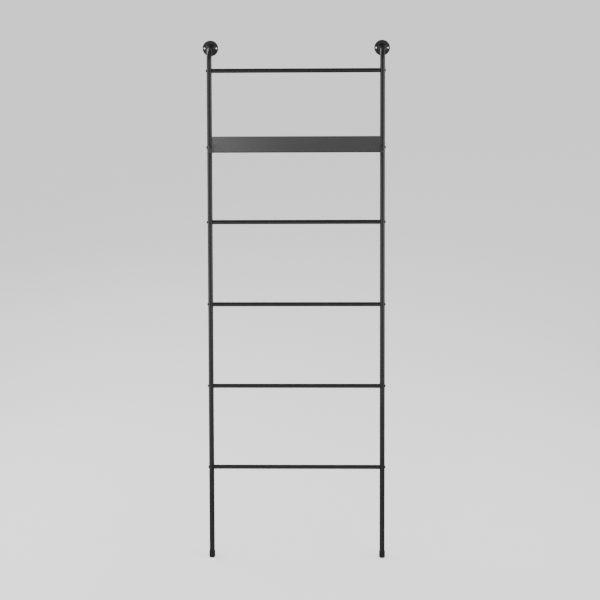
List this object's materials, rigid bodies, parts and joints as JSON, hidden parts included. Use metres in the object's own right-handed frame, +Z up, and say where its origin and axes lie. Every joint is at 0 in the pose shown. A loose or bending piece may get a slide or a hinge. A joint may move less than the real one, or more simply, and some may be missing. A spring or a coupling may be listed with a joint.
{
  "type": "leaning towel ladder",
  "caption": "Leaning ladder-shaped towel rack of round black tube, with five rungs, a flat shelf near the top, two round wall flanges and rubber feet.",
  "frame": {"origin": "floor level, half way between the uprights, half way from the front of the feet to the wall", "axes": "+X along the rungs, to the right as seen from the room. +Y towards the wall. +Z up."},
  "size_m": [0.655, 0.534, 1.7372],
  "materials": {
    "coat": "satin black powder coat",
    "shelf_coat": "fine-textured dark grey powder coat",
    "screw_black": "black oxide",
    "zinc": "bright zinc plate",
    "rubber": "matte moulded"
  },
  "bodies": {
    "root": {"left_lower_tube": "coat", "left_middle_tube": "coat", "left_upper_tube": "coat", "right_lower_tube": "coat", "right_middle_tube": "coat", "right_upper_tube": "coat", "bottom_rung": "coat", "fourth_rung": "coat", "third_rung": "coat", "second_rung": "coat", "top_rung": "coat", "left_wall_flange": "coat", "right_wall_flange": "coat", "left_lower_joint_sleeve": "zinc", "left_upper_joint_sleeve": "zinc", "right_lower_joint_sleeve": "zinc", "right_upper_joint_sleeve": "zinc", "left_rung_plugs": "zinc", "right_rung_plugs": "zinc", "left_shelf_nut": "zinc", "right_shelf_nut": "zinc", "shelf_plate": "shelf_coat", "left_bolts": "screw_black", "right_bolts": "screw_black", "left_flange_grub_screw": "screw_black", "right_flange_grub_screw": "screw_black", "left_foot_cap": "rubber", "right_foot_cap": "rubber"}
  },
  "joints": []
}
